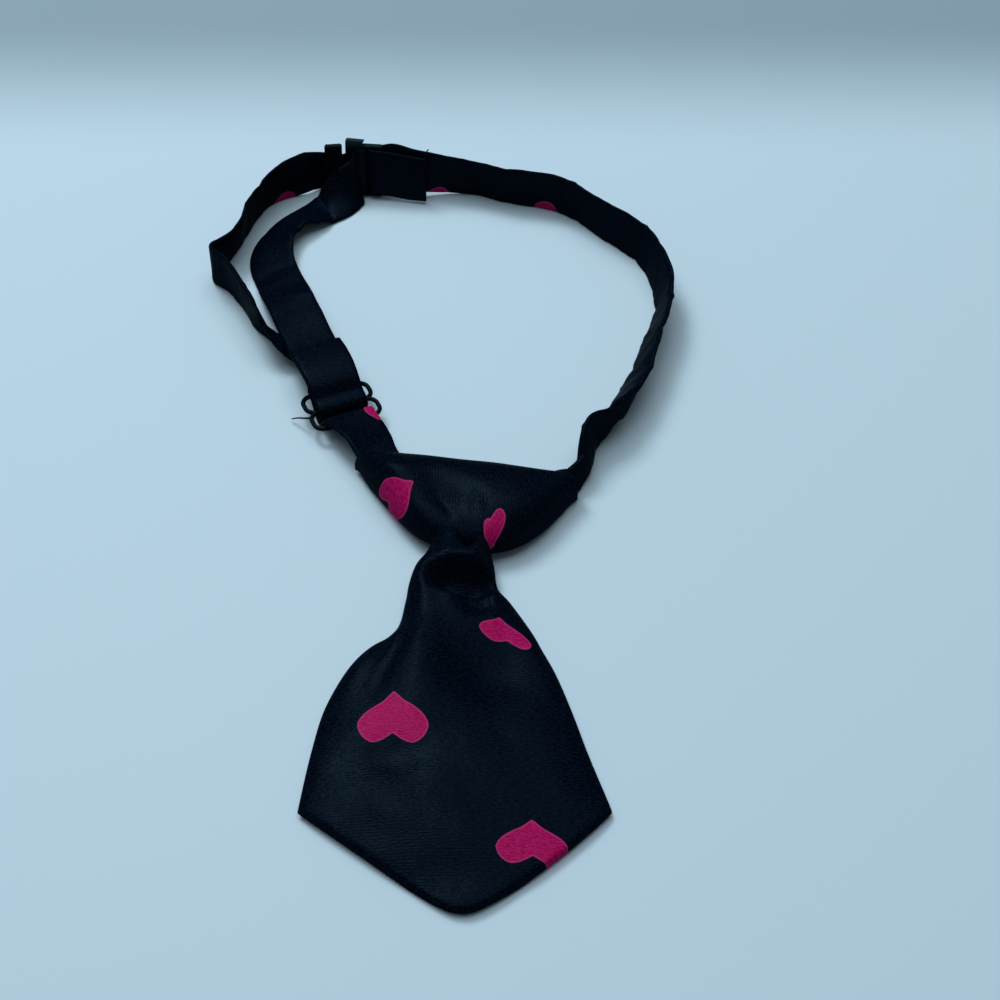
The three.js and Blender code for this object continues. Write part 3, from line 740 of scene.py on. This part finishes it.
def apply(piece):
    """Turns a piece's modifiers into its mesh."""
    graph = bpy.context.evaluated_depsgraph_get()
    made = bpy.data.meshes.new_from_object(piece.evaluated_get(graph))
    piece.modifiers.clear()
    old, piece.data = piece.data, made
    bpy.data.meshes.remove(old)


# Materials. The satin's colours lie between its threads and on them, and its hearts have a paler rim.

DYE_DEEP, DYE_THREAD = (0.0001, 0.0006, 0.0022), (0.0017, 0.0054, 0.0125)
INK_DEEP, INK_THREAD, INK_RIM = (0.33, 0.002, 0.066), (0.46, 0.01, 0.115), (0.44, 0.03, 0.15)
HEART_EDGE = (0.06, -0.06)
HEART_RIM = (-0.36, -0.12)
RIB_PERIOD = 0.6
RIBS_PER_SCALE = 0.314
RIB_WANDER, RIB_DETAIL, RIB_DETAIL_SCALE = 1.8, 2, 1.2
DASH_STRETCH, SPECK_STRETCH, PATCH_STRETCH = (1, 3, 1), (2.4, 2.4, 1), (0.12, 0.09, 1)
RIB_SHADE, DASH_SPAN = (0.6, 1), (0.42, 0.6)
SPECK_SPAN, SPECK_SHARE = (0.56, 0.74), 1.3
ROUGH_SPAN, SATIN_ROUGH = (0.7, 1.3), (0.26, 0.42)
SATIN_GLOSS, SATIN_TINT = 0.001, (17, 28, 39)
SHEEN, SHEEN_ROUGH, SHEEN_TINT = 0.002, 0.4, (0.55, 0.75, 1)
RIB_BUMP, DASH_BUMP = (0.16, 0.0001), (0.5, 0.0002)
GRAIN_DETAIL = 4
GRAIN_BUMP = (0.2, 0.00005)
HARD_TINT = (0.5, 0.8, 1)
# Paler colour painted on the clasp's top, a painted highlight where it faces the lamps
TOP_HIGHLIGHT = (0.012, 0.026, 0.032)


class Look:
    """A material, with short ways to add nodes to it."""

    def __init__(self, name):
        self.material = bpy.data.materials.new(name)
        self.material.use_nodes = True
        self.nodes, self.links = self.material.node_tree.nodes, self.material.node_tree.links
        self.shader = self.nodes["Principled BSDF"]

    def feed(self, socket, value):
        """Joins another node's output to a socket, or sets the socket to a number or a colour."""
        if isinstance(value, bpy.types.NodeSocket):
            self.links.new(value, socket)
        else:
            socket.default_value = value

    def shade(self, **values):
        for name, value in values.items():
            self.feed(self.shader.inputs[name.replace("_", " ")], value)

    def node(self, kind, **values):
        made = self.nodes.new(kind)
        for name, value in values.items():
            self.feed(made.inputs[name.replace("_", " ")], value)
        return made

    def attribute(self, name):
        made = self.nodes.new("ShaderNodeAttribute")
        made.attribute_name = name
        return made

    def noise(self, places, stretch, scale, detail):
        mapping = self.node("ShaderNodeMapping", Vector=places, Scale=stretch)
        made = self.node("ShaderNodeTexNoise", Vector=mapping.outputs["Vector"], Scale=scale, Detail=detail)
        return made.outputs["Fac"]

    def span(self, value, start, end, out_start=0, out_end=1, ease="LINEAR"):
        made = self.node(
            "ShaderNodeMapRange", Value=value,
            From_Min=start, From_Max=end, To_Min=out_start, To_Max=out_end)
        made.interpolation_type = ease
        return made.outputs["Result"]

    def combine(self, operation, first, second):
        made = self.nodes.new("ShaderNodeMath")
        made.operation = operation
        self.feed(made.inputs[0], first)
        self.feed(made.inputs[1], second)
        return made.outputs["Value"]

    def blend(self, factor, first, second):
        made = self.nodes.new("ShaderNodeMix")
        made.data_type = "RGBA"
        self.feed(made.inputs["Factor"], factor)
        for name, colour in (("A", first), ("B", second)):
            self.feed(made.inputs[name], (*colour, 1) if isinstance(colour, tuple) else colour)
        return made.outputs["Result"]

    def bump(self, height, strength, distance):
        return self.node("ShaderNodeBump", Height=height, Strength=strength, Distance=distance)

    def axis(self, name):
        """A place's own X, Y or Z on the piece."""
        where = self.nodes.new("ShaderNodeTexCoord")
        return self.node("ShaderNodeSeparateXYZ", Vector=where.outputs["Object"]).outputs[name]


def satin(name):
    look = Look(name)
    weave = look.attribute("weave").outputs["Vector"]
    heart = look.attribute("heart").outputs["Fac"]
    rib = look.node(
        "ShaderNodeTexWave", Vector=weave, Scale=RIBS_PER_SCALE / RIB_PERIOD, Distortion=RIB_WANDER,
        Detail=RIB_DETAIL, Detail_Scale=RIB_DETAIL_SCALE)
    rib.wave_type = "BANDS"
    rib.bands_direction = "Y"
    ribs = rib.outputs["Fac"]
    dash = look.noise(weave, DASH_STRETCH, 1, 1)
    speck = look.noise(weave, SPECK_STRETCH, 1, 1)
    patch = look.noise(weave, PATCH_STRETCH, 1, 2)
    thread = look.combine("MULTIPLY", look.span(ribs, 0, 1, *RIB_SHADE), look.span(dash, *DASH_SPAN))
    thread = look.combine("ADD", thread, look.span(speck, *SPECK_SPAN, 0, SPECK_SHARE))

    ink = look.blend(look.span(heart, *HEART_RIM), look.blend(thread, INK_DEEP, INK_THREAD), INK_RIM)
    dye = look.blend(thread, DYE_DEEP, DYE_THREAD)
    rough = look.span(look.combine("ADD", patch, dash), *ROUGH_SPAN, *SATIN_ROUGH)
    raised = look.bump(dash, *DASH_BUMP)
    look.feed(raised.inputs["Normal"], look.bump(ribs, *RIB_BUMP).outputs["Normal"])
    look.shade(
        Base_Color=look.blend(look.span(heart, *HEART_EDGE), dye, ink), Roughness=rough,
        Normal=raised.outputs["Normal"], Specular_IOR_Level=SATIN_GLOSS, Specular_Tint=(*SATIN_TINT, 1),
        Sheen_Weight=SHEEN, Sheen_Roughness=SHEEN_ROUGH, Sheen_Tint=(*SHEEN_TINT, 1))
    return look.material


def moulded(name, colour, rough, grain, gloss, lit_top=None):
    """A hard, nearly black look. Between the heights given for its lit top it turns paler: a painted
    highlight where the top faces the lamps.
    """
    look = Look(name)
    where = look.nodes.new("ShaderNodeTexCoord").outputs["Object"]
    speck = look.node("ShaderNodeTexNoise", Vector=where, Scale=grain, Detail=GRAIN_DETAIL).outputs["Fac"]
    look.shade(
        Base_Color=(*colour, 1), Specular_IOR_Level=gloss, Specular_Tint=(*HARD_TINT, 1),
        Roughness=look.span(speck, 0, 1, *rough),
        Normal=look.bump(speck, *GRAIN_BUMP).outputs["Normal"])
    # Painted highlight: the top turns paler between these heights, where it faces the lamps
    if lit_top:
        look.shade(Base_Color=look.blend(look.span(look.axis("Z"), *lit_top), colour, TOP_HIGHLIGHT))
    return look.material


def dress(piece, look, slot, *nodes):
    """Gives a piece its material and its body, and hides the nodes that it stands for. slot is not used."""
    piece.data.materials.clear()
    piece.data.materials.append(look)
    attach(piece, "root")
    if nodes:
        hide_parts(*nodes)


SATIN = satin("black_satin")
THREAD = moulded("black_thread", (0.001, 0.002, 0.004), rough=(0.55, 0.8), grain=3000, gloss=0.05)
LACQUER = moulded("black_lacquer", (0.0008, 0.0025, 0.0045), rough=(0.22, 0.4), grain=1500, gloss=0.05)
# The clasp's crown is painted paler between these heights: a painted highlight on its top
PLASTIC = moulded(
    "black_plastic", (0.0008, 0.0024, 0.0038), rough=(0.3, 0.5), grain=2500, gloss=0.04,
    lit_top=(0.0134, 0.0146))

# The cloth pieces

RIGHT_SEED, LEFT_SEED = 1, 5
band_right, right_over, right_weave = make_band(
    "band_right_cloth", band_right_stops(), RIGHT_CREASES, BAND_RIGHT_HEARTS, RIGHT_SEED)
band_left, left_over, left_weave = make_band(
    "band_left_cloth", band_left_stops(), LEFT_CREASES, BAND_LEFT_HEARTS, LEFT_SEED)
dress(band_right, SATIN, "satin", "band_right")
dress(band_left, SATIN, "satin", "band_left")

blade, _, blade_weave = sheet_piece("blade_cloth", *blade_grid())
mark(blade, "heart", "FLOAT", print_hearts(blade_weave[:, :2], BLADE_HEARTS))
dress(blade, SATIN, "satin", "tie_blade")

knot, knot_rings, _ = sheet_piece("knot_cloth", *knot_grid())
knot_x, knot_y, knot_z = knot_rings.reshape(-1, 3).T
slanted = np.stack([knot_x, (knot_y + knot_z) * math.sqrt(0.5)], axis=1)
mark(knot, "heart", "FLOAT", print_hearts(slanted, KNOT_HEARTS))
dress(knot, SATIN, "satin", "tie_knot")

# The slider and the clasp

WIRE_SIDES = 16
SLOT_STEPS = 13
BACK_SHARE = 0.96
STEEP = 0.9


def tube(path, radius, sides, closed=False):
    """Rings of points round a path, and the faces between them."""
    path = np.asarray(path, float)
    if closed:
        way = unit(np.roll(path, -1, axis=0) - np.roll(path, 1, axis=0))
    else:
        way = unit(np.gradient(path, axis=0))
    side = unit(np.cross(way, np.where(np.abs(way[:, 2:]) > STEEP, [[1.0, 0, 0]], [[0, 0, 1.0]])))
    up = np.cross(side, way)
    turn = np.linspace(0, 2 * math.pi, sides, endpoint=False)
    radius = np.broadcast_to(radius, len(path))[:, None, None]
    ring = np.cos(turn)[None, :, None] * side[:, None] + np.sin(turn)[None, :, None] * up[:, None]
    points = (path[:, None] + radius * ring).reshape(-1, 3)
    faces = []
    count = len(path)
    for r in range(count if closed else count - 1):
        a, b = r * sides, (r + 1) % count * sides
        faces += [(a + k, a + (k + 1) % sides, b + (k + 1) % sides, b + k) for k in range(sides)]
    if not closed:
        faces.append(tuple(range(sides)))
        faces.append(tuple(range((count - 1) * sides, count * sides)))
    return points, faces


def joined(parts):
    points, faces, start = [], [], 0
    for p, f in parts:
        points.append(p)
        faces += [tuple(start + k for k in face) for face in f]
        start += len(p)
    return np.concatenate(points), faces


def slot_path(side):
    """The wire's way round one of the slider's two slots."""
    half = (SLIDER_LENGTH - WIRE) / 2 - SLOT_CORNER
    reach = SLOT_PITCH / 2 - SLOT_CORNER
    middle = side * SLOT_PITCH / 2
    path = []
    for x, y, start in ((half, reach, 0), (-half, reach, 90), (-half, -reach, 180), (half, -reach, 270)):
        for angle in np.radians(start + np.linspace(0, 90, SLOT_STEPS)):
            across = x + SLOT_CORNER * math.cos(angle)
            along = middle + y + SLOT_CORNER * math.sin(angle)
            path.append(SLIDER_PLACE + across * SLIDER_ACROSS + along * SLIDER_WAY)
    return path


def make_slider():
    front = make("slider_wire", *tube(slot_path(1), HALF_WIRE, WIRE_SIDES, closed=True))
    back = make("slider_back", *tube(slot_path(-1), BACK_SHARE * HALF_WIRE, WIRE_SIDES, closed=True))
    merge = front.modifiers.new("merge", "BOOLEAN")
    merge.operation = "UNION"
    merge.solver = "EXACT"
    merge.object = back
    apply(front)
    bpy.data.objects.remove(back)
    return front


dress(make_slider(), LACQUER, "lacquered_wire", "slider")

# The clasp's rounded edges, and angles in degrees: what counts as flat, as an edge and as smooth
BEVEL = 0.38
BEVEL_STEPS = 4
FLAT_BELOW, EDGE_ABOVE, CLASP_SMOOTH_BELOW = 2, 30, 40


def clasp_cells():
    """The clasp's plate as cells: columns along it, rows up it, and which of them are solid."""
    across = [*TIP_BAR, *LEFT_BAR, *RIGHT_BAR]
    rise = [0, RAIL, CLASP_HEIGHT - RAIL, CLASP_HEIGHT, CLASP_HEIGHT + CROWN]
    solid = {(c, 0) for c in range(len(across) - 1)}
    solid |= {(0, r) for r in range(3)} | {(2, r) for r in range(4)} | {(4, r) for r in range(3)}
    solid |= {(3, 2)}
    return across, rise, solid


def make_clasp():
    across, rise, solid = clasp_cells()
    half = CLASP_THICK / 2
    work = bmesh.new()
    known = {}

    def corner(c, r, out):
        key = (c, r, out)
        if key not in known:
            along, up = CLASP_TOPS.get((c, r), (0, 0))
            spot = CLASP_FOOT + out * CLASP_OUT
            spot = spot + (across[c] + along) * CLASP_WAY + (rise[r] + up) * CLASP_UP
            known[key] = work.verts.new(((spot + SHIFT) * MM).tolist())
        return known[key]

    for c, r in sorted(solid):
        around = ((c, r), (c + 1, r), (c + 1, r + 1), (c, r + 1))
        for out in (-half, half):
            work.faces.new([corner(*spot, out) for spot in around])
        for side, start, end in (
            ((-1, 0), around[0], around[3]),
            ((1, 0), around[1], around[2]),
            ((0, -1), around[0], around[1]),
            ((0, 1), around[3], around[2]),
        ):
            if (c + side[0], r + side[1]) not in solid:
                edge = ((start, -half), (end, -half), (end, half), (start, half))
                work.faces.new([corner(*spot, out) for spot, out in edge])
    bmesh.ops.recalc_face_normals(work, faces=work.faces)
    flat, edge_turn = math.radians(FLAT_BELOW), math.radians(EDGE_ABOVE)
    bmesh.ops.dissolve_limit(work, angle_limit=flat, verts=work.verts, edges=work.edges)
    sharp = [e for e in work.edges if len(e.link_faces) == 2 and e.calc_face_angle() > edge_turn]
    bmesh.ops.bevel(
        work, geom=sharp, offset=BEVEL * MM, segments=BEVEL_STEPS, profile=0.5, affect="EDGES")
    mesh = bpy.data.meshes.new("clasp_hook")
    work.to_mesh(mesh)
    work.free()
    return show("clasp_hook", mesh, CLASP_SMOOTH_BELOW)


dress(make_clasp(), PLASTIC, "clasp_plastic", "clasp")

# Stitches and loose threads

STITCH = 1.3
STITCH_RADIUS = 0.24
STITCH_COUNT = 7
STITCH_STEPS = 9
STITCH_END = 0.02
STITCH_DRIFT = 2.1
STITCH_SPAN = 3
THREAD_RADIUS = 0.25
THREAD_STEPS = 25
THREAD_TAPER = 0.6
THREAD_SIDES = 8

# Rows of stitches: how far from the band's cut end, half of the row's length, and how far it wavers
Seam = namedtuple("Seam", "inset spread sag")
SLIDER_SEAM = Seam(1, 5.6, 0.45)
CLASP_SEAM = Seam(1.7, 5.2, 0.15)


def stitch_row(outer, weave, run, seam):
    """Stitches in a line across a band, at the place `run` along it, on the side given by `outer`."""
    station = int(np.argmin(np.abs(weave[:, 0, 1] - run)))
    middle = BAND_CELLS // 2
    step = unit(outer[station + STITCH_SPAN, middle] - outer[station - STITCH_SPAN, middle])
    swell = np.sqrt(np.clip(1 - np.linspace(-1, 1, STITCH_STEPS) ** 2, STITCH_END, 1))
    parts = []
    for k in range(STITCH_COUNT):
        place = seam.spread * (2 * k / (STITCH_COUNT - 1) - 1)
        reach = place + STITCH * np.linspace(-0.5, 0.5, STITCH_STEPS)
        path = [np.interp(reach, weave[station, :, 0], outer[station, :, axis]) for axis in range(3)]
        path = np.stack(path, axis=1) + step * (seam.sag * math.sin(STITCH_DRIFT * k))
        parts.append(tube(path, STITCH_RADIUS * swell, THREAD_SIDES))
    return joined(parts)


slider_run = left_weave[-1, 0, 1] - SLIDER_SEAM.inset
slider_stitches = make("slider_stitches", *stitch_row(left_over, left_weave, slider_run, SLIDER_SEAM))
clasp_stitches = make("clasp_stitches", *stitch_row(right_over, right_weave, CLASP_SEAM.inset, CLASP_SEAM))
dress(slider_stitches, THREAD, "satin")
dress(clasp_stitches, THREAD, "satin")

Spot = namedtuple("Spot", "x y z")
LOOSE_THREADS = (
    (Spot(-27.4, 13, 3.6), Spot(-28.7, 13.6, 3), Spot(-30.4, 14.8, 2), Spot(-32, 15.8, 0.8)),
    (Spot(-3.9, 106.6, 12.4), Spot(-3.6, 107, 13.2), Spot(-3.2, 107.4, 14), Spot(-2.8, 107.6, 14.6)),
)
thread_place = np.linspace(0, 1, THREAD_STEPS)
thread_radius = THREAD_RADIUS * np.linspace(1, THREAD_TAPER, THREAD_STEPS)
threads = make("loose_threads", *joined([
    tube(spline(line, thread_place), thread_radius, THREAD_SIDES) for line in LOOSE_THREADS
]))
dress(threads, THREAD, "satin")

# The floor, the light and the camera

FLOOR_REACH = 1.6
FLOOR_LEVEL = -0.00003
# The far part of the floor is painted darker: a painted shade standing for a dim backdrop
FLOOR_NEAR, FLOOR_FAR_SHADE = (0.565, 0.69, 0.76), (0.28, 0.36, 0.41)
FAR_FROM, FAR_TO = 0.125, 0.205
FLOOR_ROUGH, FLOOR_GLOSS = 0.55, 0.2


def make_floor():
    look = Look("pale_floor")
    # Painted shade: the floor darkens towards its far end
    far_shade = look.span(look.axis("Y"), FAR_FROM, FAR_TO, ease="SMOOTHSTEP")
    look.shade(
        Base_Color=look.blend(far_shade, FLOOR_NEAR, FLOOR_FAR_SHADE), Roughness=FLOOR_ROUGH,
        Specular_IOR_Level=FLOOR_GLOSS)
    mesh = bpy.data.meshes.new("floor")
    sides = ((-1, -1), (1, -1), (1, 1), (-1, 1))
    mesh.from_pydata([(x * FLOOR_REACH, y * FLOOR_REACH, FLOOR_LEVEL) for x, y in sides], [], [(0, 1, 2, 3)])
    mesh.materials.append(look.material)
    piece = bpy.data.objects.new("floor", mesh)
    bpy.context.scene.collection.objects.link(piece)
    return piece


floor = make_floor()

Lamp = namedtuple("Lamp", "name place size watts")
LAMPS = (
    Lamp("key", (-0.36, 0.62, 1), 0.4, 6.2),
    Lamp("fill", (-0.1, 0.3, 1.3), 1.5, 12.6),
)
LAMP_TARGET = (0, 0.05, 0)
LAMP_COLOUR = (0.80, 0.92, 1)
ROOM_COLOUR, ROOM_STRENGTH = (0.75, 0.89, 1), 0.15

for lamp in LAMPS:
    light = bpy.data.lights.new(lamp.name, "AREA")
    light.shape = "RECTANGLE"
    light.size = light.size_y = lamp.size
    light.energy = lamp.watts
    light.color = LAMP_COLOUR
    holder = bpy.data.objects.new(lamp.name, light)
    holder.location = lamp.place
    holder.rotation_euler = (Vector(LAMP_TARGET) - Vector(lamp.place)).to_track_quat("-Z", "Y").to_euler()
    bpy.context.scene.collection.objects.link(holder)

world = bpy.data.worlds.new("room")
world.use_nodes = True
room = world.node_tree.nodes["Background"]
room.inputs["Color"].default_value = (*ROOM_COLOUR, 1)
room.inputs["Strength"].default_value = ROOM_STRENGTH
bpy.context.scene.world = world
bpy.context.scene.view_settings.view_transform = "Standard"

CAMERA_PLACE = (16.3, -260, 250)
CAMERA_PITCH = 45
SENSOR_WIDTH, LENS, NEAREST = 36, 57.6, 0.01
lens = bpy.data.cameras.new("camera")
lens.sensor_width = SENSOR_WIDTH
lens.lens = LENS
lens.clip_start = NEAREST
camera = bpy.data.objects.new("camera", lens)
camera.location = ((np.array(CAMERA_PLACE) + SHIFT) * MM).tolist()
camera.rotation_euler = (math.radians(90 - CAMERA_PITCH), 0, 0)
bpy.context.scene.collection.objects.link(camera)
bpy.context.scene.camera = camera
